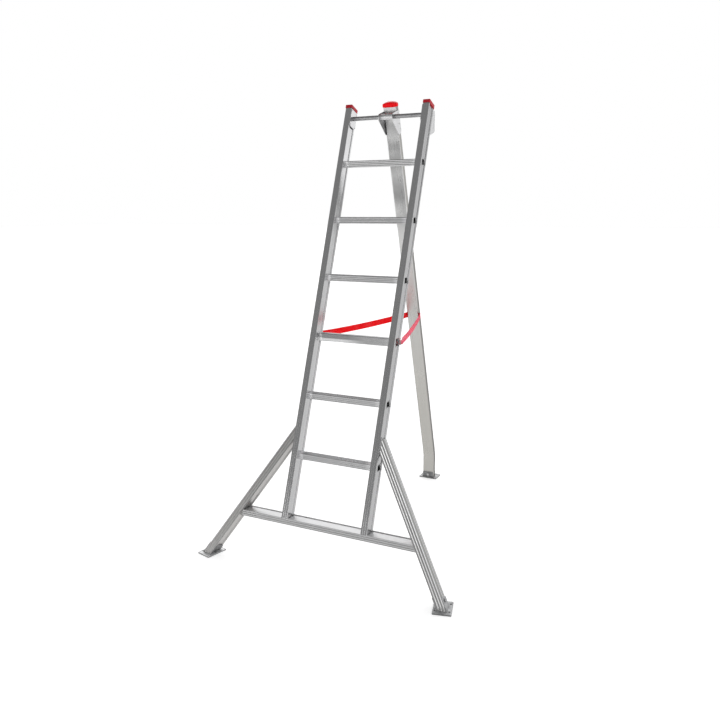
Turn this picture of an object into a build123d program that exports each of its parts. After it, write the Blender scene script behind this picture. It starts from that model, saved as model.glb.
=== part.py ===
from build123d import *
import os
from math import sin, cos, tan, radians, hypot

os.makedirs("parts", exist_ok=True)

# Tripod ladder, standing open. Millimetres, +Z up, +X to the climber's right
# when facing the rungs, +Y towards the rear leg.

# ---------------------------------------------------------------- dimensions
LEAN = 20.0            # lean of the stiles from plumb
REAR_LEAN = 17.4       # lean of the rear leg from plumb

# hollow extrusion of the stiles; the cross-member is alike, with deeper flutes
RAIL_W = 32.0          # narrow faces, with three flutes each
RAIL_D = 65.0          # wide faces, with one channel each
RAIL_LIP = 10.0        # lip beside each channel
RAIL_CHAN = 3.0        # channel depth
FLUTE_W = 9.6          # one flute
FLUTE_H = 0.6          # its depth
RAIL_WALL = 2.3

# hollow extrusion of the splay legs
SPLAY_W = 37.5
SPLAY_D = 57.5
SPLAY_SET = 3.5        # its front behind the front of the stiles
SPLAY_FLUTE_W = 11.5
SPLAY_FLUTE_H = 1.6
SPLAY_LIP = 9.5

LADDER_W = 458.0       # over the outer sides of the stiles
STILE_TOP = 2366.0     # along the stile from the ground line

# rungs, level
RUNG_PITCH = 300.0     # along the stile
RUNG_1 = 2080.0        # top of the highest rung, along the stile
RUNG_COUNT = 6
RUNG_DROP = (2.8, 0.0, 0.0, 3.2, 1.2, -0.6)   # small errors of the pitch, along the stile
RUNG_ON_EDGE = 4       # the strap's rung stands on edge
RUNG_D = 39.5
RUNG_H = 31.8
RUNG_R = 4.0
RUNG_BACK = 5.2        # behind the middle of the stile
RUNG_RISE = 1.35
RUNG_SIDE = 2.4        # front and rear walls
RUNG_FLOOR = 2.1       # top and bottom walls
RUNG_END = 1.0         # its ends stand out of the stiles' channels
RUNG_TEETH = 11        # grooves between the treads' fine ribs
RUNG_TOOTH = 1.0       # rib height
RUNG_CLEAR = 0.1

# bottom cross-member, level
CROSS_TOP = 238.5
CROSS_FRONT = 91.5     # its front face
CROSS_FLUTE_H = 1.7
CROSS_LIP = 6.5

# splay legs, in the plane of the stiles
SPLAY = 30.8           # from the stile direction
SPLAY_S = 636.3        # where its inner front edge meets the stile

# feet
PLATE_L = 115.0
PLATE_W = 85.0
PLATE_T = 6.0
PLATE_R = 5.0
PLATE_HOLE_R = 4.5
PLATE_HOLE = 32.0      # hole positions from the plate centre
FOOT_X = 619.0
FOOT_Y = 39.0
FOOT_YAW = 14.0
CHEEK_T = 3.0
REAR_PLATE_Y = 1515.0

# top
ROD_S = 2308.0         # hinge rod, along the stile
ROD_R = 10.5
RUN_CLEAR = 0.06
CAP_SKIRT = 16.0       # at the rear
CAP_SKIRT_FRONT = 11.0
CAP_TOP = 5.2
CAP_WALL = 2.8

# rear leg
LEG_W = 72.0
LEG_D = 33.0
LEG_WALL = 2.5
LEG_R = 8.0
LEG_BACK = 35.0        # front face behind the rod axis
LEG_TOP = 47.5         # above the rod axis, along the leg
LEG_FOOT_Y = 1500.93   # middle of the plumb lower end
LEG_BEND_R = 180.0
HINGE_CHEEK_T = 3.0
SLEEVE_R = 16.0

# strap
STRAP_W = 32.0
STRAP_IN = 23.6        # gathered inside the rung
STRAP_END = 27.0       # gathered inside the rear leg
STRAP_T = 2.0
STRAP_Y0 = 443.0       # inside the fourth rung
STRAP_OUT = 4.0        # middle of the web outside the stile
STRAP_STRAIGHT = 26.0  # beside the stile, before it turns inwards
STRAP_Y1 = 1205.0      # inside the rear leg
STRAP_RISE = 1.2       # slope of the loop's plane

# ------------------------------------------------------------------- frames
sL, cL = sin(radians(LEAN)), cos(radians(LEAN))
sB, cB = sin(radians(SPLAY)), cos(radians(SPLAY))
sA, cA = sin(radians(REAR_LEAN)), cos(radians(REAR_LEAN))
HALF = LADDER_W / 2
MID = RAIL_D / 2

# stile frame: local x across, y into the depth, z up along the stile
STILE_F = Plane(origin=(0, 0, 0), x_dir=(1, 0, 0), z_dir=(0, sL, cL)).location


def stile_pt(x, d, s):
    return Vector(x, s * sL + d * cL, s * cL - d * sL)


# splay leg frame: local x outwards, y into the depth, z up along the leg
LEG_O = stile_pt(HALF, 0, SPLAY_S)
LEG_N = Vector(cB, sB * sL, sB * cL)
LEG_UP = Vector(-sB, cB * sL, cB * cL)
SPLAY_F = Plane(origin=LEG_O, x_dir=LEG_N, z_dir=LEG_UP).location

# rear leg frame: origin on the rod axis, local y rearwards, z up along the leg
ROD = stile_pt(0, MID, ROD_S)
REAR_F = Plane(origin=ROD, x_dir=(1, 0, 0), z_dir=(0, -sA, cA)).location


def solid_of(shape):
    found = shape.solids()
    return found[0] if len(found) == 1 else Compound(children=list(found))


def both_sides(shape):
    return mirror(shape, about=Plane.YZ)


def box_at(x0, x1, y0, y1, z0, z1):
    return Pos((x0 + x1) / 2, (y0 + y1) / 2, (z0 + z1) / 2) * Box(x1 - x0, y1 - y0, z1 - z0)


def bar_x(radius, x0, x1, at):
    axis = Vector(at)
    return Pos((x0 + x1) / 2, axis.Y, axis.Z) * (Rot(0, 90, 0) * Cylinder(radius, x1 - x0))


def dome_rivet(head_r, head_h, shank_r, shank_l):
    # axis along +Z, head above Z = 0, shank below
    ball_r = (head_r * head_r + head_h * head_h) / (2 * head_h)
    ball = Pos(0, 0, head_h - ball_r) * Sphere(ball_r)
    keep = Pos(0, 0, head_h / 2) * Cylinder(head_r + 1, head_h)
    shank = Pos(0, 0, -shank_l / 2) * Cylinder(shank_r, shank_l)
    return solid_of((ball & keep) + shank)


def hex_bolt(length):
    # head above Z = 0, shank below
    flange = Pos(0, 0, 0.75) * Cylinder(8.4, 1.5)
    head = extrude(RegularPolygon(7.5, 6), amount=4.6)
    head = head & (Pos(0, 0, 1.9) * Sphere(7.9))
    shank = Pos(0, 0, -length / 2) * Cylinder(4.0, length)
    return solid_of(flange + head + shank)


def hex_nut():
    # seat on Z = 0
    flange = Pos(0, 0, 0.75) * Cylinder(8.4, 1.5)
    body = extrude(RegularPolygon(7.5, 6), amount=5.0)
    return solid_of(flange + body - Pos(0, 0, 2.5) * Cylinder(4.06, 10))


# ------------------------------------------------------------ rail extrusion
def rail_face(width, depth, lip, flute_w, flute_h):
    w, h = width / 2, depth / 2
    c = h - lip
    rest = (width - 3 * flute_w) / 4     # land beside each flute
    k = 0.4                              # broken edges
    edges = []

    def run(points):
        for a, b in zip(points[:-1], points[1:]):
            edges.append(Line(a, b))

    def fluted(side):
        # one narrow face, from -side to +side in the direction of travel
        at = -w + k
        start = -w + rest
        for i in range(3):
            run([(side * at, -side * h), (side * start, -side * h)])
            mid, end = start + flute_w / 2, start + flute_w
            edges.append(ThreePointArc((side * start, -side * h), (side * mid, -side * (h - flute_h)), (side * end, -side * h)))
            at, start = end, end + rest
        run([(side * at, -side * h), (side * (w - k), -side * h)])

    def channelled(side):
        d = w - RAIL_CHAN
        run([(side * (w - k), -side * h), (side * w, -side * (h - k)), (side * w, -side * c),
             (side * d, -side * (c - RAIL_CHAN)), (side * d, side * (c - RAIL_CHAN)), (side * w, side * c),
             (side * w, side * (h - k)), (side * (w - k), side * h)])

    for side in (1, -1):
        fluted(side)
        channelled(side)
    outer = make_face(edges)
    iw, ih = w - RAIL_WALL, h - flute_h - RAIL_WALL
    ic, ix = c + 1.0, w - RAIL_CHAN - RAIL_WALL
    if ih - ic < 3.0:
        return outer - Rectangle(2 * ix, 2 * ih)
    inner = make_face(Polyline(
        (-iw, -ih), (iw, -ih), (iw, -ic), (ix, -ic + RAIL_CHAN), (ix, ic - RAIL_CHAN), (iw, ic), (iw, ih),
        (-iw, ih), (-iw, ic), (-ix, ic - RAIL_CHAN), (-ix, -ic + RAIL_CHAN), (-iw, -ic), close=True))
    return outer - inner


RAIL = rail_face(RAIL_W, RAIL_D, RAIL_LIP, FLUTE_W, FLUTE_H)
SPLAY_RAIL = rail_face(SPLAY_W, SPLAY_D, SPLAY_LIP, SPLAY_FLUTE_W, SPLAY_FLUTE_H)
CROSS_RAIL = rail_face(RAIL_W, RAIL_D, CROSS_LIP, FLUTE_W, CROSS_FLUTE_H)


def rail(z0, z1, face=RAIL):
    return Pos(0, 0, z0) * extrude(face, amount=z1 - z0)


# --------------------------------------------------------------------- rungs
RUNG_C = []
for i in range(RUNG_COUNT):
    top = stile_pt(0, MID, RUNG_1 - RUNG_PITCH * i - RUNG_DROP[i])
    RUNG_C.append((top.Y - RUNG_H / 2 * sL / cL + RUNG_BACK, top.Z - RUNG_H / 2 + RUNG_RISE))


def rung_outline(grow, r):
    return RectangleRounded(RUNG_D + 2 * grow, RUNG_H + 2 * grow, r)


def rung_section():
    a, b, r = RUNG_D / 2, RUNG_H / 2, RUNG_R
    edges = []

    def run(points):
        for p, q in zip(points[:-1], points[1:]):
            edges.append(Line(p, q))

    q = r * (1 - cos(radians(45)))
    pitch = 2 * (a - r) / RUNG_TEETH
    flute = 2 * (b - r) / 3
    for side in (1, -1):
        # tread, ribbed
        for i in range(RUNG_TEETH):
            u0 = -(a - r) + i * pitch
            u1 = u0 + pitch
            run([(side * x, side * y) for x, y in (
                (u1, b), (u1 - 0.25, b), (u1 - 0.5, b - RUNG_TOOTH), (u0 + 0.5, b - RUNG_TOOTH), (u0 + 0.25, b), (u0, b))])
        edges.append(ThreePointArc((-side * (a - r), side * b), (-side * (a - q), side * (b - q)), (-side * a, side * (b - r))))
        # front or rear, fluted
        for i in range(3):
            v0 = (b - r) - i * flute
            v1 = v0 - flute
            run([(-side * a, side * v0), (-side * a, side * (v0 - 0.4))])
            edges.append(ThreePointArc((-side * a, side * (v0 - 0.4)), (-side * (a - 0.8), side * (v0 + v1) / 2), (-side * a, side * (v1 + 0.4))))
            run([(-side * a, side * (v1 + 0.4)), (-side * a, side * v1)])
        edges.append(ThreePointArc((-side * a, -side * (b - r)), (-side * (a - q), -side * (b - q)), (-side * (a - r), -side * b)))
    return make_face(edges)


RUNG = rung_section()


def rung_plane(i, x):
    y, z = RUNG_C[i]
    return Plane(origin=(x, y, z), x_dir=(0, 0, 1) if i + 1 == RUNG_ON_EDGE else (0, 1, 0), z_dir=(1, 0, 0))


def rung_at(i):
    end = HALF - RAIL_CHAN + RUNG_END
    bore = RectangleRounded(RUNG_D - 2 * RUNG_SIDE - 1.6, RUNG_H - 2 * RUNG_FLOOR, 1.5)
    along = rung_plane(i, 0)
    body = extrude(along * RUNG, amount=end, both=True)
    body -= extrude(along * bore, amount=HALF + 10, both=True)
    return solid_of(body)


rungs = {f"rung_{i + 1}": rung_at(i) for i in range(RUNG_COUNT)}

# -------------------------------------------------------------------- stiles
RIVET_R = 2.0
PLATE_RIVETS = [(5.8, 2270.0), (59.2, 2270.0), (5.8, 2342.0), (59.2, 2342.0)]
BRACKET_RIVETS = [2250.0, 2288.0, 2326.0]
HINGE_PLATE_T = 4.0

right_stile = STILE_F * (Pos(HALF - RAIL_W / 2, MID, 0) * rail(200, STILE_TOP))
right_stile -= box_at(0, 600, -200, 600, -50, CROSS_TOP)
for i in range(RUNG_COUNT):
    through = rung_plane(i, HALF - RAIL_W - 5)
    right_stile -= extrude(through * rung_outline(RUNG_CLEAR, RUNG_R + RUNG_CLEAR), amount=RAIL_W + 10)
right_stile -= bar_x(ROD_R + 0.05, HALF - RAIL_W - 5, HALF - RAIL_W / 2, ROD)
inner_x = HALF - RAIL_W
for d, s in PLATE_RIVETS:
    p = stile_pt(0, d, s)
    right_stile -= bar_x(RIVET_R + 0.05, inner_x - 1, inner_x + 6, (0, p.Y, p.Z))
for s in BRACKET_RIVETS:
    right_stile -= STILE_F * (Pos(HALF - 18, RAIL_D - 3, s) * (Rot(90, 0, 0) * Cylinder(RIVET_R + 0.05, 12)))
right_stile = solid_of(right_stile)
left_stile = both_sides(right_stile)

# -------------------------------------------------------------- cross-member
cross = Plane(origin=(0, CROSS_FRONT + MID, CROSS_TOP - RAIL_W / 2), x_dir=(0, 0, 1), z_dir=(1, 0, 0)).location * (
    rail(-700, 700, CROSS_RAIL))
beyond = SPLAY_F * box_at(0, 900, -900, 900, -1500, 900)
cross -= beyond
cross -= both_sides(beyond)
cross_member = solid_of(cross)

# ---------------------------------------------------------------- splay legs
T_END = 900.0
right_leg = SPLAY_F * (Pos(SPLAY_W / 2, SPLAY_SET + SPLAY_D / 2, 0) * rail(-T_END, 120, SPLAY_RAIL))
right_leg -= box_at(-200, HALF, -900, 900, -400, 1500)
right_leg -= box_at(0, 1500, -900, 900, -900, PLATE_T)
BOLT_Z = 27.5          # height of the foot bolts in the middle of the leg
FOOT_BOLTS = []
for d in (28.0,):
    lz = (BOLT_Z - LEG_O.Z - LEG_N.Z * SPLAY_W / 2 + sL * d) / (cB * cL)
    FOOT_BOLTS.append((d, lz))
    right_leg -= SPLAY_F * (Pos(SPLAY_W / 2, d, lz) * (Rot(0, 90, 0) * Cylinder(4.15, SPLAY_W + 20)))
right_leg = solid_of(right_leg)
left_leg = both_sides(right_leg)


# ---------------------------------------------------------------------- feet
def base_plate():
    flat = RectangleRounded(PLATE_W, PLATE_L, PLATE_R)
    for x in (-PLATE_HOLE, PLATE_HOLE):
        for y in (-PLATE_HOLE, PLATE_HOLE):
            flat -= Pos(x, y) * Circle(PLATE_HOLE_R)
    plate = extrude(flat, amount=PLATE_T)
    rim = plate.edges().group_by(Axis.Z)[-1].sort_by(SortBy.LENGTH)[-8:]
    return chamfer(rim, 0.9)


right_foot_plate = solid_of(Pos(FOOT_X, FOOT_Y, 0) * (Rot(0, 0, FOOT_YAW) * base_plate()))
left_foot_plate = both_sides(right_foot_plate)

# cheeks of a front foot, on both sides of the leg
ground_z = (-LEG_O.Z - LEG_N.Z * SPLAY_W / 2 + sL * MID) / (cB * cL)


def front_cheek(x0, top):
    cheek_top = ground_z + top
    d0, d1 = SPLAY_SET + 0.8, SPLAY_SET + SPLAY_D - 0.8
    outline = make_face(Polyline(
        (d0, ground_z - 60), (d1, ground_z - 60), (d1, cheek_top), (d0, cheek_top), close=True))
    outline = fillet(outline.vertices().sort_by(Axis.Y)[-2:], 4)
    flat = Plane(origin=(x0, 0, 0), x_dir=(0, 1, 0), z_dir=(1, 0, 0))
    slab = extrude(flat * outline, amount=CHEEK_T)
    # pressed pad that fills the leg's channel
    c0, c1 = SPLAY_SET + SPLAY_LIP + 0.3, SPLAY_SET + SPLAY_D - SPLAY_LIP - 0.3
    pad_x, sign = (0.0, 1) if x0 < 0 else (SPLAY_W, -1)
    deep = RAIL_CHAN - 0.2
    pad = make_face(Polyline((pad_x, c0), (pad_x + sign * deep, c0 + deep), (pad_x + sign * deep, c1 - deep), (pad_x, c1), close=True))
    slab += extrude(Plane(origin=(0, 0, ground_z - 60), x_dir=(1, 0, 0), z_dir=(0, 0, 1)) * pad, amount=top + 58.0, dir=(0, 0, 1))
    for d, lz in FOOT_BOLTS:
        slab -= Pos(x0 + CHEEK_T / 2, d, lz) * (Rot(0, 90, 0) * Cylinder(4.2, 30))
    slab = SPLAY_F * slab
    slab -= box_at(0, 1500, -900, 900, -900, PLATE_T)
    return solid_of(slab)


right_inner_cheek, right_outer_cheek = front_cheek(-CHEEK_T, 60.7), front_cheek(SPLAY_W, 50.0)
right_foot_cheeks = Compound(children=[right_inner_cheek, right_outer_cheek])
left_foot_cheeks = Compound(children=[both_sides(right_inner_cheek), both_sides(right_outer_cheek)])

bolts, nuts = [], []
for d, lz in FOOT_BOLTS:
    b = SPLAY_F * (Pos(SPLAY_W + CHEEK_T, d, lz) * (Rot(0, 90, 0) * hex_bolt(SPLAY_W + 2 * CHEEK_T + 6.5)))
    n = SPLAY_F * (Pos(-CHEEK_T, d, lz) * (Rot(0, -90, 0) * hex_nut()))
    bolts += [b, both_sides(b)]
    nuts += [n, both_sides(n)]
front_foot_bolts = Compound(children=bolts)
front_foot_nuts = Compound(children=nuts)

# ---------------------------------------------------------------- stile caps
cap_w = RAIL_W / 2 + CAP_WALL
cap_s0 = STILE_TOP - CAP_SKIRT
cap_h = CAP_SKIRT + CAP_TOP
cap_d0, cap_d1 = -CAP_WALL, RAIL_D + 5.0
shell = Pos(0, (cap_d0 + cap_d1) / 2, cap_s0 + cap_h / 2) * Box(2 * cap_w, cap_d1 - cap_d0, cap_h)
upright = shell.edges().filter_by(Axis.Z).sort_by(Axis.Y)
shell = fillet(upright[-2:], 7.0)
shell = fillet(shell.edges().filter_by(Axis.Z).sort_by(Axis.Y)[:2], 3.5)
shell = fillet(shell.faces().sort_by(Axis.Z)[-1].edges(), 2.8)
# the hollow follows the stile, with a lug in each channel
hw, lug = RAIL_W / 2 + 0.12, RAIL_CHAN - 0.1
l0, l1 = RAIL_LIP + 0.3, RAIL_D - RAIL_LIP - 0.3
around = [(hw, -0.12), (hw, l0), (hw - lug, l0 + lug), (hw - lug, l1 - lug), (hw, l1), (hw, RAIL_D + 0.12)]
hollow = make_face(Polyline(*around, *[(-x, y) for x, y in reversed(around)], close=True))
shell -= Pos(0, 0, cap_s0 - 1) * extrude(hollow, amount=CAP_SKIRT + 1)
# its lower edge rises towards the front
below = make_face(Polyline(
    (cap_d0 - 1, cap_s0 - 5), (cap_d1 + 1, cap_s0 - 5), (cap_d1 + 1, cap_s0), (RAIL_D, cap_s0),
    (0, STILE_TOP - CAP_SKIRT_FRONT), (cap_d0 - 1, STILE_TOP - CAP_SKIRT_FRONT), close=True))
shell -= extrude(Plane(origin=(0, 0, 0), x_dir=(0, 1, 0), z_dir=(1, 0, 0)) * below, amount=60, both=True)
right_cap = solid_of(STILE_F * (Pos(HALF - RAIL_W / 2, 0, 0) * shell))
left_cap = both_sides(right_cap)

# -------------------------------------------------------------- hinge plates
flat = make_face(Polyline((1.0, 2260.0), (64.0, 2260.0), (64.0, 2349.0), (1.0, 2349.0), close=True))
flat = fillet(flat.vertices().sort_by(Axis.Y)[:2], 16.0)
flat -= Pos(MID, ROD_S) * Circle(ROD_R + 0.05)
for d, s in PLATE_RIVETS:
    flat -= Pos(d, s) * Circle(RIVET_R + 0.05)
face_x = Plane(origin=(inner_x - HINGE_PLATE_T, 0, 0), x_dir=(0, 1, 0), z_dir=(1, 0, 0))
hinge_plate = extrude(face_x * flat, amount=HINGE_PLATE_T)
right_hinge_plate = solid_of(STILE_F * hinge_plate)
left_hinge_plate = both_sides(right_hinge_plate)

rivets = []
for d, s in PLATE_RIVETS:
    r = STILE_F * (Pos(inner_x - HINGE_PLATE_T, d, s) * (Rot(0, -90, 0) * dome_rivet(4.2, 1.7, RIVET_R, HINGE_PLATE_T + 3.4)))
    rivets += [r, both_sides(r)]
hinge_plate_rivets = Compound(children=rivets)

# ----------------------------------------------------------- bumper brackets
BUMPER_Y = 885.0       # plumb rear edge
BUMPER_T = 4.0
hi, lo = stile_pt(0, RAIL_D, 2343.0), stile_pt(0, RAIL_D, 2218.0)
fin = make_face(Polyline(
    (hi.Y, hi.Z), (BUMPER_Y, hi.Z + 1.0), (BUMPER_Y, lo.Z + 17.0), (lo.Y + 8.0, lo.Z - 2.9), (lo.Y, lo.Z), close=True))
fin = fillet(fin.vertices().sort_by(Axis.X)[-2:].sort_by(Axis.Y)[:1], 12.0)
fin = fillet(fin.vertices().sort_by(Axis.Y)[-1:], 5.0)
side = Plane(origin=(HALF - BUMPER_T, 0, 0), x_dir=(0, 1, 0), z_dir=(1, 0, 0))
bracket = extrude(side * fin, amount=BUMPER_T)
tab = box_at(HALF - 29.0, HALF - 1.0, RAIL_D, RAIL_D + BUMPER_T, 2232.0, 2343.0)
tab = fillet(tab.edges().filter_by(Axis.Y).sort_by(Axis.X)[:2], 8.0)
for s in BRACKET_RIVETS:
    tab -= Pos(HALF - 18, RAIL_D + 2, s) * (Rot(90, 0, 0) * Cylinder(RIVET_R + 0.05, 12))
right_bumper = solid_of(bracket + STILE_F * tab)
left_bumper = both_sides(right_bumper)
rivets = []
for s in BRACKET_RIVETS:
    r = STILE_F * (Pos(HALF - 18, RAIL_D + BUMPER_T, s) * (Rot(-90, 0, 0) * dome_rivet(4.2, 1.7, RIVET_R, BUMPER_T + 4.2)))
    rivets += [r, both_sides(r)]
bumper_rivets = Compound(children=rivets)

# ----------------------------------------------------------------- hinge rod
rod_end = HALF - RAIL_CHAN - RAIL_WALL - 0.3
hinge_rod = solid_of(bar_x(ROD_R, -rod_end, rod_end, ROD))
cheek_out = LEG_W / 2 + HINGE_CHEEK_T

# ------------------------------------------------------------------ rear leg
mid_n = LEG_BACK + LEG_D / 2


def rear_pt(x, n, t):
    return Vector(x, ROD.Y + n * cA + t * sA, ROD.Z + n * sA - t * cA)


t_bend = (LEG_FOOT_Y - ROD.Y - mid_n * cA) / sA
tangent = LEG_BEND_R * tan(radians(REAR_LEAN / 2))
p0 = rear_pt(0, mid_n, -LEG_TOP)
p1 = rear_pt(0, mid_n, t_bend - tangent)
corner = rear_pt(0, mid_n, t_bend)
p2 = Vector(0, corner.Y, corner.Z - tangent)
p3 = Vector(0, corner.Y, PLATE_T)
upper = Line(p0, p1)
bend = TangentArc(p1, p2, tangent=(0, sA, -cA))
lower = Line(p2, p3)
path = Wire([upper, bend, lower])
section = RectangleRounded(LEG_W, LEG_D, LEG_R) - RectangleRounded(LEG_W - 2 * LEG_WALL, LEG_D - 2 * LEG_WALL, LEG_R - LEG_WALL)
rear_tube = sweep(Plane(origin=p0, x_dir=(1, 0, 0), z_dir=(0, sA, -cA)) * section, path=path)

# strap loop, in a plane that rises slightly towards the rear leg
strap_z0 = RUNG_C[3][1]
sR, cR = sin(radians(STRAP_RISE)), cos(radians(STRAP_RISE))
STRAP_F = Plane(origin=(0, STRAP_Y0, strap_z0), x_dir=(1, 0, 0), z_dir=(0, -sR, cR)).location
far = (STRAP_Y1 - STRAP_Y0) / cR
out = HALF + STRAP_OUT
near = LEG_W / 2 + 4.5
SLOT_Z = strap_z0 + far * sR
slot = box_at(-100, 100, STRAP_Y1 - 3.0, STRAP_Y1 + 3.0, SLOT_Z - 16.0, SLOT_Z + 16.0)
slot = fillet(slot.edges().filter_by(Axis.X), 2.9)
rear_tube -= slot


def loop_edge(grow):
    pts = [(-out, 0), (out, 0), (out, STRAP_STRAIGHT), (near, far), (-near, far), (-out, STRAP_STRAIGHT)]
    radii = {(out, 0): 4.0, (out, STRAP_STRAIGHT): 20.0, (near, far): 5.0}
    face = make_face(Polyline(*pts, close=True))
    for (x, y), r in radii.items():
        at = [v for v in face.vertices() if abs(abs(v.X) - x) < 1e-6 and abs(v.Y - y) < 1e-6]
        face = fillet(at, r)
    return offset(face, amount=grow)


band = loop_edge(STRAP_T / 2) - loop_edge(-STRAP_T / 2)
strap = extrude(band, amount=STRAP_W / 2, both=True)
halves = [(-20, STRAP_IN / 2), (12, STRAP_IN / 2), (45, STRAP_W / 2), (far - 60, STRAP_END / 2 + 0.6), (far + 20, STRAP_END / 2)]
shape = make_face(Polyline(*halves, *[(y, -z) for y, z in reversed(halves)], close=True))
strap &= extrude(Plane.YZ * shape, amount=400, both=True)
strap = STRAP_F * strap
restraint_strap = solid_of(strap)
strap_length = 2 * (out + STRAP_STRAIGHT + hypot(out - near, far - STRAP_STRAIGHT) + near)

# hinge cheeks on the sides of the rear leg
CHEEK_RIVETS = [(47.0, -8.0), (56.0, 18.0), (47.0, 46.0), (55.0, 72.0)]
flat = make_face(Polyline(
    (64.0, 20.0), (-20.0, 20.0), (-34.0, 8.0), (-32.0, -10.0), (32.0, -97.0), (48.0, -97.0), (64.0, -84.0), close=True))
corners = flat.vertices()
nose = [v for v in corners if v.X < 0]
tail = [v for v in corners if v.X > 0]
flat = fillet(nose, 9.0)
flat = fillet([v for v in flat.vertices() if v.X > 30 and v.Y < -80], 6.0)
flat -= Circle(ROD_R + RUN_CLEAR)
for n, t in CHEEK_RIVETS:
    flat -= Pos(n, -t) * Circle(RIVET_R + 0.55)
cheek_plane = Plane(origin=(LEG_W / 2, 0, 0), x_dir=(0, 1, 0), z_dir=(1, 0, 0))
right_cheek = solid_of(REAR_F * extrude(cheek_plane * flat, amount=HINGE_CHEEK_T))
left_cheek = both_sides(right_cheek)
rivets = []
for n, t in CHEEK_RIVETS:
    r = REAR_F * (Pos(cheek_out, n, -t) * (Rot(0, 90, 0) * dome_rivet(5.2, 2.1, RIVET_R + 0.5, HINGE_CHEEK_T + LEG_WALL + 1.0)))
    rivets += [r, both_sides(r)]
    hole = REAR_F * (Pos(0, n, -t) * (Rot(0, 90, 0) * Cylinder(RIVET_R + 0.55, 120)))
    rear_tube -= hole
cheek_rivets = Compound(children=rivets)

# sleeve that turns on the rod, between the cheeks
sleeve = bar_x(SLEEVE_R, -LEG_W / 2, LEG_W / 2, ROD) - bar_x(ROD_R + RUN_CLEAR, -100, 100, ROD)
hinge_sleeve = solid_of(sleeve)

# bolt through the plumb end of the rear leg
REAR_BOLT_Z = 22.0
rear_tube -= Pos(0, LEG_FOOT_Y, REAR_BOLT_Z) * (Rot(90, 0, 0) * Cylinder(4.15, 100))
rear_leg_tube = solid_of(rear_tube)

# domed cap of the rear leg
CAP_L, CAP_D = 82.0, 45.0
CAP_LOW, CAP_HIGH = 40.0, 66.0
DOME_R = 85.0
DOME_EDGE = 6.5
CAP_N = mid_n - 2.5
dome = Pos(0, CAP_N, CAP_LOW) * extrude(RectangleRounded(CAP_L, CAP_D, 20.0), amount=40)
dome = dome & (Pos(0, CAP_N, CAP_HIGH - DOME_R) * Sphere(DOME_R))
dome = chamfer(dome.faces().sort_by(Axis.Z)[0].edges(), 1.6)
dome = fillet(dome.faces().sort_by(Axis.Z)[-1].edges(), DOME_EDGE)
dome -= Pos(0, mid_n, 0) * extrude(RectangleRounded(LEG_W + 0.24, LEG_D + 0.24, LEG_R + 0.12), amount=LEG_TOP)
rear_leg_cap = solid_of(REAR_F * dome)

# rear foot
rear_plate = Pos(0, REAR_PLATE_Y, 0) * (Rot(0, 0, 90) * base_plate())
rear_foot_plate = solid_of(rear_plate)


def rear_cheek(y0):
    outline = make_face(Polyline((-34, PLATE_T), (34, PLATE_T), (34, 41), (-34, 41), close=True))
    outline = fillet(outline.vertices().sort_by(Axis.Y)[-2:], 4)
    outline -= Pos(0, REAR_BOLT_Z) * Circle(4.2)
    front = Plane(origin=(0, y0 + CHEEK_T, 0), x_dir=(1, 0, 0), z_dir=(0, -1, 0))
    return solid_of(extrude(front * outline, amount=CHEEK_T))


leg_front, leg_rear = LEG_FOOT_Y - LEG_D / 2, LEG_FOOT_Y + LEG_D / 2
rear_foot_cheeks = Compound(children=[rear_cheek(leg_front - CHEEK_T), rear_cheek(leg_rear)])
rear_foot_bolt = solid_of(Pos(0, leg_front - CHEEK_T, REAR_BOLT_Z) * (Rot(90, 0, 0) * hex_bolt(LEG_D + 2 * CHEEK_T + 6.5)))
rear_foot_nut = solid_of(Pos(0, leg_rear + CHEEK_T, REAR_BOLT_Z) * (Rot(-90, 0, 0) * hex_nut()))

# ------------------------------------------------------------------- results
nodes = {
    "left_stile": left_stile,
    "right_stile": right_stile,
    **rungs,
    "cross_member": cross_member,
    "left_splay_leg": left_leg,
    "right_splay_leg": right_leg,
    "left_stile_cap": left_cap,
    "right_stile_cap": right_cap,
    "left_hinge_plate": left_hinge_plate,
    "right_hinge_plate": right_hinge_plate,
    "hinge_plate_rivets": hinge_plate_rivets,
    "left_bumper_bracket": left_bumper,
    "right_bumper_bracket": right_bumper,
    "bumper_bracket_rivets": bumper_rivets,
    "hinge_rod": hinge_rod,
    "left_foot_plate": left_foot_plate,
    "right_foot_plate": right_foot_plate,
    "left_foot_cheeks": left_foot_cheeks,
    "right_foot_cheeks": right_foot_cheeks,
    "front_foot_bolts": front_foot_bolts,
    "front_foot_nuts": front_foot_nuts,
    "restraint_strap": restraint_strap,
    "rear_leg_tube": rear_leg_tube,
    "rear_leg_cap": rear_leg_cap,
    "left_hinge_cheek": left_cheek,
    "right_hinge_cheek": right_cheek,
    "hinge_cheek_rivets": cheek_rivets,
    "hinge_sleeve": hinge_sleeve,
    "rear_foot_plate": rear_foot_plate,
    "rear_foot_cheeks": rear_foot_cheeks,
    "rear_foot_bolt": rear_foot_bolt,
    "rear_foot_nut": rear_foot_nut,
}

# the part's origin is the middle of its footprint, on the ground
low = [min(getattr(s.bounding_box().min, a) for s in nodes.values()) for a in "XYZ"]
high = [max(getattr(s.bounding_box().max, a) for s in nodes.values()) for a in "XYZ"]
shift = (-(low[0] + high[0]) / 2, -(low[1] + high[1]) / 2, -low[2])
for name, shape in nodes.items():
    export_step(Location(shift) * shape, f"parts/{name}.step")

print("shift", [round(v, 4) for v in shift], "size", [round(b - a, 2) for a, b in zip(low, high)])
print("rod", [round(a + b, 4) for a, b in zip((0, ROD.Y, ROD.Z), shift)])
print("strap length", round(strap_length, 1), "slot z", round(SLOT_Z, 2))
print("rung centres", [(round(y + shift[1], 3), round(z + shift[2], 3)) for y, z in RUNG_C])
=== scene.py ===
import math

import bmesh
import bpy
from mathutils import Matrix, Vector


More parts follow.
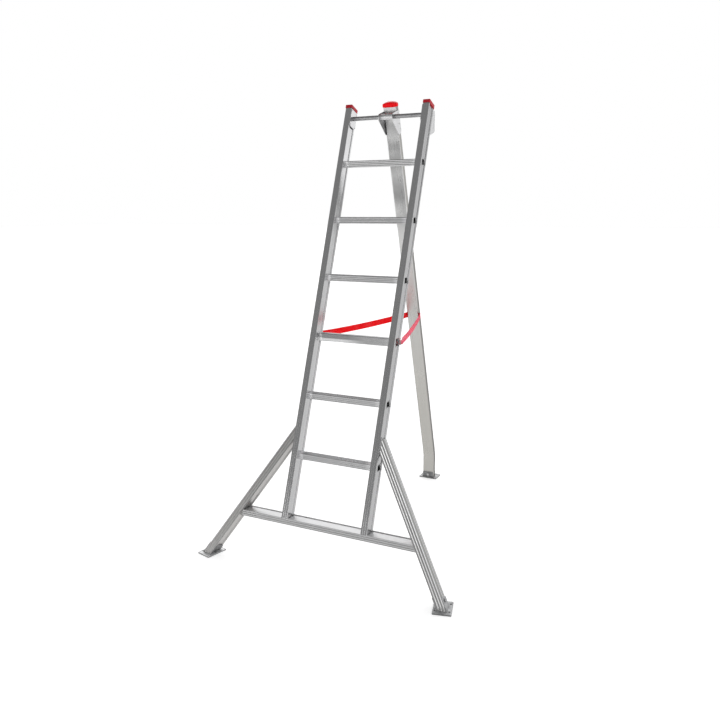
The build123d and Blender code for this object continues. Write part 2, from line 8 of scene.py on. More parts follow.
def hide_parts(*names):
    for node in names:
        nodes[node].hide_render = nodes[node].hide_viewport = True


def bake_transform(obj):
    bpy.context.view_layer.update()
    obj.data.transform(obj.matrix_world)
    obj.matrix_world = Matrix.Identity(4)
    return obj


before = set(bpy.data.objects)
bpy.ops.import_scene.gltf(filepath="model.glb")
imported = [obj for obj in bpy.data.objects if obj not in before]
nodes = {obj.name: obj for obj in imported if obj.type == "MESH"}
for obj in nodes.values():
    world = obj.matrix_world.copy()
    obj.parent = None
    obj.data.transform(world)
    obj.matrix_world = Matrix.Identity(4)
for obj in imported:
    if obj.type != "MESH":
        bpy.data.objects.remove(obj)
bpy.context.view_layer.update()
scene = bpy.context.scene

LEAN = math.radians(20.0)
SPLAY = math.radians(30.8)
REAR = math.radians(17.4)
SHIFT_Y = -0.7657437

STILE_DIR = Vector((0, math.sin(LEAN), math.cos(LEAN)))
RIGHT_LEG_DIR = Vector((-math.sin(SPLAY), math.cos(SPLAY) * math.sin(LEAN), math.cos(SPLAY) * math.cos(LEAN)))
LEFT_LEG_DIR = Vector((math.sin(SPLAY), math.cos(SPLAY) * math.sin(LEAN), math.cos(SPLAY) * math.cos(LEAN)))
REAR_DIR = Vector((0, -math.sin(REAR), math.cos(REAR)))
X_DIR = Vector((1, 0, 0))


# ------------------------------------------------------------------ materials
class Tree:
    """Small helper for building a node material."""

    def __init__(self, name):
        self.mat = bpy.data.materials.new(name)
        self.mat.use_nodes = True
        self.nt = self.mat.node_tree
        self.nt.nodes.clear()
        self.out = self.add("ShaderNodeOutputMaterial")
        self.bsdf = self.add("ShaderNodeBsdfPrincipled")
        self.link(self.bsdf.outputs["BSDF"], self.out.inputs["Surface"])

    def add(self, kind, **props):
        n = self.nt.nodes.new(kind)
        for k, v in props.items():
            setattr(n, k, v)
        return n

    def link(self, a, b):
        self.nt.links.new(a, b)

    def put(self, node, **values):
        for k, v in values.items():
            node.inputs[k.replace("_", " ")].default_value = v
        return node

    def coords(self, direction=None, scale=(1, 1, 1)):
        src = self.add("ShaderNodeTexCoord").outputs["Object"]
        if direction is not None:
            turn = self.add("ShaderNodeMapping")
            q = Vector(direction).normalized().rotation_difference(Vector((0, 0, 1)))
            turn.inputs["Rotation"].default_value = q.to_euler("XYZ")
            self.link(src, turn.inputs["Vector"])
            src = turn.outputs["Vector"]
        size = self.add("ShaderNodeMapping")
        size.inputs["Scale"].default_value = scale
        self.link(src, size.inputs["Vector"])
        return size.outputs["Vector"]

    def noise(self, vector, scale=1.0, detail=3.0, rough=0.55, distort=0.0):
        n = self.add("ShaderNodeTexNoise")
        self.put(n, Scale=scale, Detail=detail, Roughness=rough, Distortion=distort)
        self.link(vector, n.inputs["Vector"])
        return n.outputs["Fac"]

    def remap(self, value, a, b, c, d, smooth=False):
        n = self.add("ShaderNodeMapRange")
        if smooth:
            n.interpolation_type = "SMOOTHSTEP"
        self.put(n, From_Min=a, From_Max=b, To_Min=c, To_Max=d)
        self.link(value, n.inputs["Value"])
        return n.outputs["Result"]

    def mix(self, fac, a, b, mode="MIX"):
        n = self.add("ShaderNodeMix", data_type="RGBA", blend_type=mode)
        for sock, v in ((n.inputs[0], fac), (n.inputs[6], a), (n.inputs[7], b)):
            if isinstance(v, bpy.types.NodeSocket):
                self.link(v, sock)
            elif isinstance(v, (int, float)):
                sock.default_value = v
            else:
                sock.default_value = (*v, 1.0)
        return n.outputs[2]

    def math(self, op, a, b=0.0):
        n = self.add("ShaderNodeMath", operation=op)
        for sock, v in ((n.inputs[0], a), (n.inputs[1], b)):
            if isinstance(v, bpy.types.NodeSocket):
                self.link(v, sock)
            else:
                sock.default_value = v
        return n.outputs["Value"]

    def bump(self, height, strength, distance, normal=None):
        n = self.add("ShaderNodeBump")
        self.put(n, Strength=strength, Distance=distance)
        self.link(height, n.inputs["Height"])
        if normal is not None:
            self.link(normal, n.inputs["Normal"])
        return n.outputs["Normal"]


def scaled(c, k):
    return tuple(min(1.0, v * k) for v in c)


def extruded(name, direction, base, rough, contrast=0.10, scuff=0.5, edge=0.55, top_highlight=None, painted_facing=(), low_shade=None, rear_highlight=None, painted_split=None, upper=None, hollow=False, ends=None):
    """Mill-finish aluminium: fine die lines along the member, soft blotches, a few scuffs. The later optional
    arguments paint light and shade by face direction, height and place.
    """
    t = Tree(name)
    fine = t.noise(t.coords(direction, (420, 420, 2.2)), 1.0, 3.0, 0.6)
    broad = t.noise(t.coords(direction, (90, 90, 0.9)), 1.0, 2.0, 0.5)
    blotch = t.noise(t.coords(None, (7, 7, 7)), 1.0, 4.0, 0.6)
    marks = t.noise(t.coords(direction, (150, 150, 38)), 1.0, 5.0, 0.68)
    lines = t.math("ADD", t.math("MULTIPLY", fine, 0.6), t.math("MULTIPLY", broad, 0.4))
    shade = t.remap(lines, 0.3, 0.7, 0.0, 1.0)
    color = t.mix(shade, scaled(base, 1 - contrast), scaled(base, 1 + contrast * 0.5))
    color = t.mix(t.remap(blotch, 0.38, 0.68, 0.0, 0.55), color, scaled(base, 0.9))
    scratch = t.remap(marks, 0.63, 0.72, 0.0, scuff, True)
    color = t.mix(scratch, color, scaled(base, 1.12))
    r = t.math("ADD", t.remap(lines, 0.3, 0.7, rough - 0.04, rough + 0.04), t.remap(blotch, 0.3, 0.7, -0.03, 0.05))
    r = t.math("ADD", r, t.math("MULTIPLY", scratch, 0.10))
    if top_highlight is not None:
        # painted highlight: the top faces take a lighter tone and a little more roughness
        sep = t.add("ShaderNodeSeparateXYZ")
        t.link(t.add("ShaderNodeNewGeometry").outputs["Normal"], sep.inputs["Vector"])
        top = t.remap(sep.outputs["Z"], 0.75, 0.95, 0.0, 1.0, True)
        color = t.mix(top, color, t.mix(shade, scaled(top_highlight, 0.92), top_highlight))
        r = t.math("ADD", r, t.math("MULTIPLY", top, 0.14))
    if low_shade is not None:
        # painted shade: darker towards the ground
        z0, z1, tint = low_shade
        place = t.add("ShaderNodeSeparateXYZ")
        t.link(t.coords(), place.inputs["Vector"])
        color = t.mix(t.remap(place.outputs["Z"], z0, z1, 0.0, 1.0, True), t.mix(shade, scaled(tint, 1 - contrast), scaled(tint, 1 + contrast * 0.5)), color)
    # painted light and shade: faces turned towards each given way take that way's lighter or darker tone
    for way, tint in painted_facing:
        dot = t.add("ShaderNodeVectorMath", operation="DOT_PRODUCT")
        t.link(t.add("ShaderNodeNewGeometry").outputs["Normal"], dot.inputs[0])
        dot.inputs[1].default_value = Vector(way).normalized()
        color = t.mix(t.remap(dot.outputs["Value"], 0.65, 0.90, 0.0, 1.0, True), color, t.mix(shade, scaled(tint, 1 - contrast), scaled(tint, 1 + contrast * 0.5)))
    if rear_highlight is not None:
        # painted highlight: the rear part of the side facing the given way, lighter
        point, depth, d0, d1, way, tint = rear_highlight
        off = t.add("ShaderNodeVectorMath", operation="SUBTRACT")
        t.link(t.coords(), off.inputs[0])
        off.inputs[1].default_value = point
        along = t.add("ShaderNodeVectorMath", operation="DOT_PRODUCT")
        t.link(off.outputs["Vector"], along.inputs[0])
        along.inputs[1].default_value = depth
        dot = t.add("ShaderNodeVectorMath", operation="DOT_PRODUCT")
        t.link(t.add("ShaderNodeNewGeometry").outputs["Normal"], dot.inputs[0])
        dot.inputs[1].default_value = Vector(way).normalized()
        here = t.math("MULTIPLY", t.remap(along.outputs["Value"], d0, d1, 0.0, 1.0, True), t.remap(dot.outputs["Value"], 0.85, 0.95, 0.0, 1.0, True))
        color = t.mix(here, color, t.mix(shade, scaled(tint, 1 - contrast), tint))
    if painted_split is not None:
        # painted reflection on the front face, towards the left end: painted shade above, painted highlight below
        z, x0, x1, above, below = painted_split
        place = t.add("ShaderNodeSeparateXYZ")
        t.link(t.coords(), place.inputs["Vector"])
        face = t.add("ShaderNodeSeparateXYZ")
        t.link(t.add("ShaderNodeTexCoord").outputs["Normal"], face.inputs["Vector"])
        here = t.math("MULTIPLY", t.remap(face.outputs["Y"], -0.65, -0.90, 0.0, 1.0, True), t.remap(place.outputs["X"], x0, x1, 1.0, 0.0, True))
        band = t.mix(t.remap(place.outputs["Z"], z - 0.002, z + 0.002, 0.0, 1.0, True), (below,) * 3, (above,) * 3)
        color = t.mix(here, color, band, "MULTIPLY")
    if upper is not None:
        # painted reflections near the top: bands of painted shade across the front, a painted highlight on the right
        # side
        z0, z1, front_k, side_k = upper
        place = t.add("ShaderNodeSeparateXYZ")
        t.link(t.coords(), place.inputs["Vector"])
        face = t.add("ShaderNodeSeparateXYZ")
        t.link(t.add("ShaderNodeTexCoord").outputs["Normal"], face.inputs["Vector"])
        patch = t.noise(t.coords(direction, (9, 9, 16)), 1.0, 2.0, 0.5)
        height = t.math("ADD", place.outputs["Z"], t.remap(patch, 0.3, 0.7, -0.012, 0.012))
        wave = t.math("COSINE", t.math("MULTIPLY", t.math("SUBTRACT", height, 2.035), 2 * math.pi / 0.17))
        front = t.mix(t.remap(wave, -1.0, 1.0, 0.0, 1.0), (front_k - 0.15,) * 3, (front_k + 0.17,) * 3)
        band = t.mix(t.remap(face.outputs["X"], 0.30, 0.80, 0.0, 1.0, True), front, (side_k,) * 3)
        reach = t.math("MULTIPLY", t.remap(place.outputs["Z"], z0, z1, 0.0, 1.0, True), t.remap(place.outputs["Z"], 2.12, 2.17, 1.0, 0.0, True))
        reach = t.math("MULTIPLY", reach, t.remap(face.outputs["Y"], 0.30, 0.70, 1.0, 0.0, True))
        color = t.mix(reach, color, band, "MULTIPLY")
    if ends is not None:
        # painted light at both ends, lifting the shade where the rung meets the stiles
        place = t.add("ShaderNodeSeparateXYZ")
        t.link(t.coords(), place.inputs["Vector"])
        color = t.mix(t.remap(place.outputs["X"], -0.168, -0.186, 0.0, 1.0, True), color, (ends[0],) * 3, "MULTIPLY")
        color = t.mix(t.remap(place.outputs["X"], 0.160, 0.185, 0.0, 1.0, True), color, (ends[1],) * 3, "MULTIPLY")
    if hollow:
        # inside the hollow section: painted light near the cut ends, painted shade further in
        box = t.add("ShaderNodeSeparateXYZ")
        t.link(t.add("ShaderNodeTexCoord").outputs["Generated"], box.inputs["Vector"])
        face = t.add("ShaderNodeSeparateXYZ")
        t.link(t.add("ShaderNodeTexCoord").outputs["Normal"], face.inputs["Vector"])
        cy, cz = t.math("SUBTRACT", box.outputs["Y"], 0.5), t.math("SUBTRACT", box.outputs["Z"], 0.5)
        outward = t.math("ADD", t.math("MULTIPLY", face.outputs["Y"], cy), t.math("MULTIPLY", face.outputs["Z"], cz))
        depth = t.math("SUBTRACT", 0.5, t.math("MAXIMUM", t.math("ABSOLUTE", cy), t.math("ABSOLUTE", cz)))
        inside = t.math("MULTIPLY", t.remap(outward, -0.02, -0.10, 0.0, 1.0), t.remap(depth, 0.040, 0.055, 0.0, 1.0))
        end = t.math("SUBTRACT", 0.5, t.math("ABSOLUTE", t.math("SUBTRACT", box.outputs["X"], 0.5)))
        color = t.mix(inside, color, t.mix(t.remap(end, 0.005, 0.014, 0.0, 1.0, True), (0.80, 0.80, 0.80), (0.03, 0.03, 0.03)))
        r = t.math("MAXIMUM", r, t.math("MULTIPLY", inside, 0.95))
    t.link(color, t.bsdf.inputs["Base Color"])
    t.link(r, t.bsdf.inputs["Roughness"])
    t.bsdf.inputs["Metallic"].default_value = 1.0
    t.bsdf.inputs["Specular Tint"].default_value = (edge, edge, edge, 1.0)
    t.link(t.bump(lines, 0.08, 0.0001), t.bsdf.inputs["Normal"])
    return t.mat


def galvanised(name, base, dull=0.75):
    """Dull zinc coat with a faint crystal spangle and a little ground-in dirt."""
    t = Tree(name)
    cells = t.add("ShaderNodeTexVoronoi", feature="F1")
    t.put(cells, Scale=95.0, Randomness=1.0)
    t.link(t.coords(), cells.inputs["Vector"])
    sep = t.add("ShaderNodeSeparateColor")
    t.link(cells.outputs["Color"], sep.inputs["Color"])
    dirt = t.noise(t.coords(None, (38, 38, 60)), 1.0, 5.0, 0.62)
    grain = t.noise(t.coords(None, (600, 600, 600)), 1.0, 2.0, 0.5)
    color = t.mix(sep.outputs["Red"], scaled(base, 0.82), scaled(base, 1.2))
    color = t.mix(t.remap(dirt, 0.5, 0.72, 0.0, 0.6), color, scaled(base, 0.55))
    # painted shade: the sides and cut edges are darker than the upper faces
    face = t.add("ShaderNodeSeparateXYZ")
    t.link(t.add("ShaderNodeTexCoord").outputs["Normal"], face.inputs["Vector"])
    color = t.mix(t.remap(face.outputs["Z"], 0.55, 0.85, dull, 0.0, True), color, scaled(base, 0.24))
    t.link(color, t.bsdf.inputs["Base Color"])
    t.link(t.math("ADD", t.remap(sep.outputs["Green"], 0, 1, 0.42, 0.58), t.remap(dirt, 0.45, 0.75, 0.0, 0.2)), t.bsdf.inputs["Roughness"])
    t.bsdf.inputs["Metallic"].default_value = 0.55
    t.link(t.bump(grain, 0.2, 0.0002), t.bsdf.inputs["Normal"])
    return t.mat


def zinc(name, base, rough):
    """Bright zinc plating with fine turned lines and dull patches."""
    t = Tree(name)
    turned = t.noise(t.coords(None, (900, 160, 160)), 1.0, 2.0, 0.5)
    patch = t.noise(t.coords(None, (55, 55, 55)), 1.0, 4.0, 0.6)
    color = t.mix(t.remap(patch, 0.35, 0.7, 0, 1), scaled(base, 1.06), scaled(base, 0.84))
    t.link(color, t.bsdf.inputs["Base Color"])
    t.link(t.math("ADD", t.remap(turned, 0.3, 0.7, rough - 0.05, rough + 0.05), t.remap(patch, 0.4, 0.7, 0.0, 0.12)), t.bsdf.inputs["Roughness"])
    t.bsdf.inputs["Metallic"].default_value = 1.0
    t.bsdf.inputs["Specular Tint"].default_value = (0.4, 0.4, 0.4, 1.0)
    t.link(t.bump(turned, 0.15, 0.0001), t.bsdf.inputs["Normal"])
    return t.mat


def moulded(name, base, gloss=0.28):
    """Injection-moulded plastic: fine spark texture and slight flow marks."""
    t = Tree(name)
    spark = t.noise(t.coords(None, (1500, 1500, 1500)), 1.0, 2.0, 0.5)
    flow = t.noise(t.coords(None, (30, 30, 55)), 1.0, 3.0, 0.55, 0.6)
    color = t.mix(t.remap(flow, 0.35, 0.68, 0, 1), base, scaled(base, 0.86))
    t.link(color, t.bsdf.inputs["Base Color"])
    t.link(t.math("ADD", t.remap(spark, 0.3, 0.7, 0.30, 0.38), t.remap(flow, 0.4, 0.7, 0.0, 0.08)), t.bsdf.inputs["Roughness"])
    t.bsdf.inputs["Specular IOR Level"].default_value = gloss
    t.link(t.bump(spark, 0.12, 0.0002), t.bsdf.inputs["Normal"])
    return t.mat


def webbing(name, base):
    """Flat woven polyester: chevron twill across the width, darker between the yarns, worn edges."""
    t = Tree(name)
    uv = t.add("ShaderNodeUVMap", uv_map="weave").outputs["UV"]
    sep = t.add("ShaderNodeSeparateXYZ")
    t.link(uv, sep.inputs["Vector"])
    along, across = sep.outputs["X"], sep.outputs["Y"]        # metres along, -1..1 across
    fold = t.math("PINGPONG", t.math("MULTIPLY", across, 0.012), 0.003)
    phase = t.math("MULTIPLY", t.math("ADD", along, t.math("MULTIPLY", fold, 1.6)), 2 * math.pi / 0.0026)
    twill = t.remap(t.math("SINE", phase), -1, 1, 0, 1)
    yarn = t.remap(t.math("SINE", t.math("MULTIPLY", across, 2 * math.pi * 9.5)), -1, 1, 0, 1)
    weave = t.math("ADD", t.math("MULTIPLY", twill, 0.65), t.math("MULTIPLY", yarn, 0.35))
    edge = t.remap(t.math("ABSOLUTE", across), 0.84, 0.97, 0, 1, True)
    fade = t.noise(t.coords(None, (14, 14, 40)), 1.0, 4.0, 0.6)
    color = t.mix(weave, scaled(base, 0.62), base)
    color = t.mix(t.remap(fade, 0.42, 0.72, 0, 0.35), color, tuple(0.75 * v + 0.08 for v in base))
    color = t.mix(t.math("MULTIPLY", edge, 0.35), color, scaled(base, 0.6))
    place = t.add("ShaderNodeSeparateXYZ")
    t.link(t.coords(), place.inputs["Vector"])
    # painted highlight: the run on the right side is lighter and pinker
    right_run_highlight = t.remap(place.outputs["X"], 0.02, 0.06, 0.0, 0.75, True)
    color = t.mix(right_run_highlight, color, t.mix(weave, (0.52, 0.085, 0.135), (0.74, 0.17, 0.235)))
    # painted shade where the webbing runs into the ends of the rung
    rung_end_shade = t.remap(place.outputs["Y"], 0.447 + SHIFT_Y, 0.474 + SHIFT_Y, 0.92, 0.0, True)
    color = t.mix(rung_end_shade, color, t.mix(weave, (0.24, 0.195, 0.20), (0.38, 0.32, 0.325)))
    t.link(color, t.bsdf.inputs["Base Color"])
    t.bsdf.inputs["Roughness"].default_value = 0.78
    t.bsdf.inputs["Specular IOR Level"].default_value = 0.06
    # light passes through the thin web
    t.bsdf.inputs["Subsurface Weight"].default_value = 0.6
    t.bsdf.inputs["Subsurface Radius"].default_value = (1.0, 0.04, 0.04)
    t.bsdf.inputs["Subsurface Scale"].default_value = 0.006
    t.link(t.bump(weave, 0.55, 0.0005), t.bsdf.inputs["Normal"])
    return t.mat


ALU = (0.50, 0.50, 0.505)
stile_mat = extruded("stile_aluminium", STILE_DIR, ALU, 0.20)
# one rung tube in three base tones: the top rung lighter, painted light; the fourth darker, painted shade
rung_mat = extruded("rung_aluminium", X_DIR, (0.435, 0.435, 0.44), 0.27, 0.16, 0.8, hollow=True, ends=(2.1, 1.35))
top_rung_mat = extruded("top_rung_aluminium", X_DIR, (0.52, 0.52, 0.522), 0.25, 0.16, 0.8, hollow=True, ends=(1.75, 1.2))
rung_4_mat = extruded("rung_4_aluminium", X_DIR, (0.39, 0.39, 0.394), 0.27, 0.16, 0.8, painted_split=(1.0761, -0.06, 0.08, 0.68, 1.76), hollow=True, ends=(2.3, 1.15))
# the cross-member's top faces carry a painted highlight
cross_mat = extruded("cross_member_aluminium", X_DIR, (0.47, 0.47, 0.472), 0.28, 0.12, top_highlight=(0.64, 0.64, 0.645))
# one extrusion for both splay legs: the right leg's lighter base is painted light, with painted shade on its outer
# side and a painted highlight at the rear of that side; the left leg's darker base is painted shade, with a painted
# highlight on its inner side
right_leg_mat = extruded("right_leg_aluminium", RIGHT_LEG_DIR, (0.62, 0.62, 0.62), 0.15, 0.12, painted_facing=[((0.859, 0.175, 0.481), (0.31, 0.31, 0.306))],
                         rear_highlight=((0.229, 0.2176 + SHIFT_Y, 0.5979), (0, 0.9397, -0.3420), 0.0300, 0.0370, (0.859, 0.175, 0.481), (0.66, 0.66, 0.655)))
left_leg_mat = extruded("left_leg_aluminium", LEFT_LEG_DIR, (0.385, 0.38, 0.375), 0.30, 0.14, painted_facing=[((0.859, -0.175, -0.481), (0.51, 0.50, 0.49))])
# rear leg: painted shade on its right side, its back and towards the ground, with painted reflection bands on its
# front near the top and a painted highlight on its right side there
rear_mat = extruded("rear_leg_aluminium", REAR_DIR, (0.60, 0.60, 0.597), 0.28, 0.08, edge=0.2, painted_facing=[((1, 0, 0), (0.345, 0.34, 0.328)), ((0, 0.96, 0.29), (0.36, 0.357, 0.345))], low_shade=(0.35, 1.9, (0.42, 0.412, 0.388)), upper=(1.56, 1.70, 0.74, 1.17))
plate_mat = extruded("hinge_plate_aluminium", STILE_DIR, (0.55, 0.55, 0.555), 0.24, 0.08)
# painted shade on the backs of the bumper brackets
bracket_mat = extruded("bracket_aluminium", STILE_DIR, (0.66, 0.66, 0.665), 0.26, 0.08, painted_facing=[((0, 1, 0), (0.42, 0.42, 0.42))])
cheek_mat = extruded("hinge_cheek_aluminium", REAR_DIR, (0.60, 0.60, 0.605), 0.30, 0.08)
sleeve_mat = extruded("sleeve_aluminium", X_DIR, (0.66, 0.66, 0.665), 0.45, 0.10)
rod_mat = zinc("rod_zinc", (0.33, 0.33, 0.335), 0.32)
bolt_mat = zinc("bolt_zinc", (0.42, 0.42, 0.42), 0.30)
rivet_mat = zinc("rivet_aluminium", (0.55, 0.55, 0.555), 0.28)
steel_mat = galvanised("galvanised_steel", (0.45, 0.454, 0.46))
# the right foot cheeks get less of the painted side shade
cheek_steel_mat = galvanised("cheek_galvanised_steel", (0.45, 0.454, 0.46), 0.30)
# painted light: a lighter copy of the galvanised steel, for the left foot plate
lit_steel_mat = galvanised("lit_galvanised_steel", (0.66, 0.664, 0.67))
cap_mat = moulded("red_plastic", (0.46, 0.020, 0.030), 0.11)
dome_mat = moulded("bright_red_plastic", (0.95, 0.004, 0.008), 0.10)
strap_mat = webbing("red_webbing", (0.94, 0.006, 0.012))

assign = {
    stile_mat: ["left_stile", "right_stile"],
    top_rung_mat: ["rung_1"],
    rung_mat: [f"rung_{i}" for i in (2, 3, 5, 6)],
    rung_4_mat: ["rung_4"],
    cross_mat: ["cross_member"],
    right_leg_mat: ["right_splay_leg"],
    left_leg_mat: ["left_splay_leg"],
    rear_mat: ["rear_leg_tube"],
    plate_mat: ["left_hinge_plate", "right_hinge_plate"],
    bracket_mat: ["left_bumper_bracket", "right_bumper_bracket"],
    cheek_mat: ["left_hinge_cheek", "right_hinge_cheek"],
    rod_mat: ["hinge_rod"],
    sleeve_mat: ["hinge_sleeve"],
    bolt_mat: ["front_foot_bolts", "front_foot_nuts", "rear_foot_bolt", "rear_foot_nut"],
    rivet_mat: ["hinge_plate_rivets", "bumper_bracket_rivets", "hinge_cheek_rivets"],
    lit_steel_mat: ["left_foot_plate"],
    steel_mat: ["right_foot_plate", "rear_foot_plate", "left_foot_cheeks", "rear_foot_cheeks"],
    cheek_steel_mat: ["right_foot_cheeks"],
    cap_mat: ["left_stile_cap", "right_stile_cap"],
    dome_mat: ["rear_leg_cap"],
}
for material, names in assign.items():
    for n in names:
        mesh = nodes[n].data
        mesh.materials.clear()
        mesh.materials.append(material)


# -------------------------------------------------------------------- strap
def strap_mesh():
    """A closed loop of webbing through the fourth rung and the slots of the rear leg."""
    rise = math.radians(1.2)
    y0, z0 = 0.443 + SHIFT_Y, 1.080165
    far = (1.205 - 0.443) / math.cos(rise)
    out, near, straight = 0.233, 0.0405, 0.026
    corners = [((-out, 0), 0.004), ((out, 0), 0.004), ((out, straight), 0.02), ((near, far), 0.005), ((-near, far), 0.005), ((-out, straight), 0.02)]
    line = []
    n = len(corners)
    for i in range(n):
        a, b, c = (Vector(corners[k % n][0]) for k in (i - 1, i, i + 1))
        r = corners[i][1]
        d0, d1 = (a - b).normalized(), (c - b).normalized()
        half = d0.angle(d1) / 2
        cut = r / math.tan(half)
        p, q = b + d0 * cut, b + d1 * cut
        centre = b + (d0 + d1).normalized() * (r / math.sin(half))
        steps = max(3, int(math.degrees(math.pi - 2 * half) / 9))
        for k in range(steps + 1):
            f = k / steps
            v = (p.lerp(q, f) - centre).normalized() * r + centre
            line.append(v)
    path = []
    for i, p in enumerate(line):
        q = line[(i + 1) % len(line)]
        path.append(p)
        count = int((q - p).length / 0.006)
        for k in range(1, count):
            path.append(p.lerp(q, k / count))
    width, thick = 0.031, 0.0019
    # rounded selvage section: (across -1..1, thickness -1..1)
    section = [(-1, 0), (-0.985, 0.62), (-0.93, 0.98), (-0.86, 0.86), (-0.5, 0.8), (0, 0.82), (0.5, 0.8), (0.86, 0.86), (0.93, 0.98), (0.985, 0.62), (1, 0),
               (0.985, -0.62), (0.93, -0.98), (0.86, -0.86), (0.5, -0.8), (0, -0.82), (-0.5, -0.8), (-0.86, -0.86), (-0.93, -0.98), (-0.985, -0.62)]
    up = Vector((0, -math.sin(rise), math.cos(rise)))
    ey = Vector((0, math.cos(rise), math.sin(rise)))
    origin = Vector((0, y0, z0))
    bm = bmesh.new()
    layer = bm.loops.layers.uv.new("weave")
    rings, lengths, total = [], [], 0.0
    m = len(path)
    for i in range(m):
        p, before, after = path[i], path[i - 1], path[(i + 1) % m]
        tangent = (after - before).normalized()
        side = Vector((tangent.y, -tangent.x))
        run = min(1.0, max(0.0, (p.y - 0.030) / (far - 0.038)))
        # gathered where it goes through the rung, flat along the free runs
        open_up = min(1.0, max(0.0, (p.y - 0.004) / 0.060))
        open_up = open_up * open_up * (3 - 2 * open_up)
        bow = 1.5 * (1 - open_up)
        # the free runs hang a little, and the left one turns slightly on its way
        hang = (0.0085 if p.x < 0 else 0.0135) * (4 * run * (1 - run)) ** 0.8
        turn = math.radians(13) * math.sin(math.pi * run ** 2.2) if p.x < 0 else math.radians(-6) * math.sin(math.pi * run)
        base = origin + X_DIR * p.x + ey * p.y - Vector((0, 0, hang))
        normal = X_DIR * side.x + ey * side.y
        across, face_n = up * math.cos(turn) + normal * math.sin(turn), normal * math.cos(turn) - up * math.sin(turn)
        ring = []
        for a, h in section:
            if bow > 0.02:
                angle = a * bow
                radius = width / 2 / bow
                arm, lift = radius * math.sin(angle), radius * (1 - math.cos(angle))
                n_here = face_n * math.cos(angle) - across * math.sin(angle)
            else:
                arm, lift, n_here = a * width / 2, 0.0, face_n
            ring.append(bm.verts.new(base + across * arm + face_n * lift + n_here * (h * thick / 2)))
        rings.append(ring)
        lengths.append(total)
        total += (after - p).length
    k = len(section)
    for i in range(m):
        j = (i + 1) % m
        end = lengths[j] if j else total
        for s in range(k):
            e = (s + 1) % k
            face = bm.faces.new((rings[i][s], rings[j][s], rings[j][e], rings[i][e]))
            face.smooth = True
            for loop, (u, v) in zip(face.loops, ((lengths[i], section[s][0]), (end, section[s][0]), (end, section[e][0]), (lengths[i], section[e][0]))):
                loop[layer].uv = (u, v)
    bmesh.ops.recalc_face_normals(bm, faces=bm.faces)
    mesh = bpy.data.meshes.new("strap_webbing")
    bm.to_mesh(mesh)
    bm.free()
    mesh.materials.append(strap_mat)
    obj = bpy.data.objects.new("strap_webbing", mesh)
    scene.collection.objects.link(obj)
    return obj


strap = strap_mesh()
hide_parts("restraint_strap")
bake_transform(strap)

# -------------------------------------------------------------- camera, light
CAM = Vector((1.5608, -2.6838 + SHIFT_Y, 1.7037))
yaw, pitch, roll = math.radians(26.172), math.radians(11.808), math.radians(-0.215)
fwd = Vector((-math.sin(yaw) * math.cos(pitch), math.cos(yaw) * math.cos(pitch), -math.sin(pitch)))
right = Vector((math.cos(yaw), math.sin(yaw), 0))
up = right.cross(fwd)
r2 = right * math.cos(roll) + up * math.sin(roll)
u2 = up * math.cos(roll) - right * math.sin(roll)
camera = bpy.data.objects.new("camera", bpy.data.cameras.new("camera"))
scene.collection.objects.link(camera)
camera.data.sensor_width = 36.0
camera.data.lens = 723.72 / 720.0 * 36.0
camera.data.clip_start, camera.data.clip_end = 0.05, 200.0
camera.matrix_world = Matrix((
    (r2.x, u2.x, -fwd.x, CAM.x),
    (r2.y, u2.y, -fwd.y, CAM.y),
    (r2.z, u2.z, -fwd.z, CAM.z),
    (0, 0, 0, 1)))
scene.camera = camera

# pale floor
bm = bmesh.new()
bmesh.ops.create_grid(bm, x_segments=8, y_segments=8, size=60.0)
floor_mesh = bpy.data.meshes.new("floor")
bm.to_mesh(floor_mesh)
bm.free()
floor = bpy.data.objects.new("floor", floor_mesh)
scene.collection.objects.link(floor)
ft = Tree("studio_floor")
tone = ft.noise(ft.coords(None, (0.7, 0.7, 0.7)), 1.0, 2.0, 0.5)
ft.link(ft.mix(tone, (0.90, 0.90, 0.90), (0.93, 0.93, 0.93)), ft.bsdf.inputs["Base Color"])
ft.bsdf.inputs["Roughness"].default_value = 0.9
ft.bsdf.inputs["Specular IOR Level"].default_value = 0.1
ft.bsdf.inputs["Emission Color"].default_value = (1, 1, 1, 1)
ft.bsdf.inputs["Emission Strength"].default_value = 0.50
floor_mesh.materials.append(ft.mat)

# studio surroundings: white behind, grey towards the front, the right and overhead
world = bpy.data.worlds.new("studio")
scene.world = world
world.use_nodes = True
wn, wl = world.node_tree.nodes, world.node_tree.links
wn.clear()
wo = wn.new("ShaderNodeOutputWorld")
bg = wn.new("ShaderNodeBackground")
tc = wn.new("ShaderNodeTexCoord")
sx = wn.new("ShaderNodeSeparateXYZ")
wl.new(tc.outputs["Generated"], sx.inputs["Vector"])


def world_ramp(sock, a, b, c, d):
    n = wn.new("ShaderNodeMapRange")
    n.interpolation_type = "SMOOTHSTEP"
    for k, v in zip(("From Min", "From Max", "To Min", "To Max"), (a, b, c, d)):
        n.inputs[k].default_value = v
    wl.new(sock, n.inputs["Value"])
    return n.outputs["Result"]


def world_math(op, a, b):
    n = wn.new("ShaderNodeMath")
    n.operation = op
    for sock, v in zip(n.inputs, (a, b)):
        if isinstance(v, bpy.types.NodeSocket):
            wl.new(v, sock)
        else:
            sock.default_value = v
    return n.outputs["Value"]


dx, dy, dz = sx.outputs["X"], sx.outputs["Y"], sx.outputs["Z"]
# a grey wall in front, up to the right-hand corner
front = world_math("MULTIPLY", world_ramp(dz, 0.04, 0.17, 0.0, 1.0), world_ramp(dy, -0.10, 0.35, 1.0, 0.0))
front = world_math("MULTIPLY", front, world_ramp(dx, 0.45, 0.65, 1.0, 0.0))
# a white card low on the left
card = world_math("MULTIPLY", world_math("MULTIPLY", world_ramp(dx, -0.50, -0.62, 0.0, 1.0), world_ramp(dz, 0.05, 0.12, 3.0, 0.0)), world_ramp(dy, -0.10, 0.10, 1.0, 0.0))
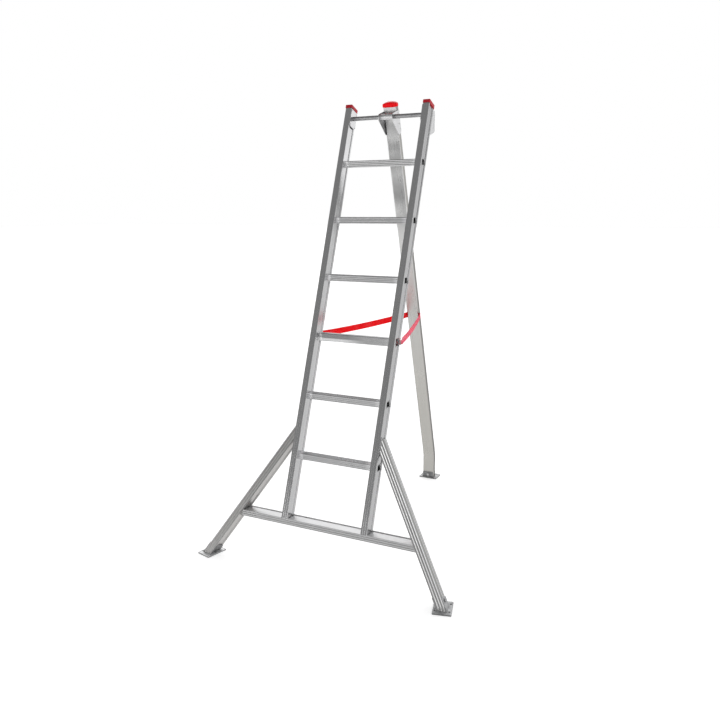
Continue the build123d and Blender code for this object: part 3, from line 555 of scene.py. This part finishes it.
# a grey frame on the right
frame_right = world_math("MULTIPLY", world_math("MULTIPLY", world_ramp(dx, 0.70, 0.82, 0.0, 1.0), world_ramp(dz, 0.34, 0.42, 0.0, 1.0)), world_ramp(dz, 0.50, 0.60, 1.0, 0.0))
left_open = world_ramp(dx, 0.04, 0.25, 1.0, 0.0)
rear_sky = world_math("MULTIPLY", world_math("MULTIPLY", world_ramp(dz, 0.14, 0.34, 0.0, 0.9), world_ramp(dy, 0.0, 0.45, 0.0, 1.0)), left_open)
# behind on the right: a grey strip, then a bright one
strip = world_math("MULTIPLY", world_math("MULTIPLY", world_ramp(dx, 0.05, 0.20, 0.0, 1.0), world_ramp(dx, 0.38, 0.46, 1.0, 0.0)), world_ramp(dz, 0.0, 0.06, 0.0, 1.0))
bright = world_math("MULTIPLY", world_math("MULTIPLY", world_ramp(dx, 0.38, 0.45, 0.0, 1.0), world_ramp(dx, 0.60, 0.75, 1.0, 0.0)), world_math("MULTIPLY", world_ramp(dz, -0.035, 0.0, 0.0, 1.1), world_ramp(dy, 0.3, 0.6, 0.0, 1.0)))
level = world_math("ADD", world_math("ADD", world_math("ADD", rear_sky, bright), card), 1.0)
level = world_math("MULTIPLY", level, world_ramp(front, 0.0, 1.0, 1.0, 0.36))
level = world_math("MULTIPLY", level, world_ramp(frame_right, 0.0, 1.0, 1.0, 0.36))
level = world_math("MULTIPLY", level, world_ramp(strip, 0.0, 1.0, 1.0, 0.80))
level = world_math("MULTIPLY", level, world_ramp(dz, 0.72, 0.92, 1.0, 0.40))
wl.new(level, bg.inputs["Strength"])
bg.inputs["Color"].default_value = (1.0, 1.0, 1.0, 1.0)
# the surroundings light the ladder and show in its metal; behind it stands a plain white backdrop
backdrop = wn.new("ShaderNodeBackground")
backdrop.inputs["Color"].default_value = (1.0, 1.0, 1.0, 1.0)
backdrop.inputs["Strength"].default_value = 1.0
seen = wn.new("ShaderNodeLightPath")
pick = wn.new("ShaderNodeMixShader")
wl.new(seen.outputs["Is Camera Ray"], pick.inputs[0])
wl.new(bg.outputs["Background"], pick.inputs[1])
wl.new(backdrop.outputs["Background"], pick.inputs[2])
wl.new(pick.outputs["Shader"], wo.inputs["Surface"])


scene.view_settings.view_transform = "Standard"
scene.view_settings.look = "None"
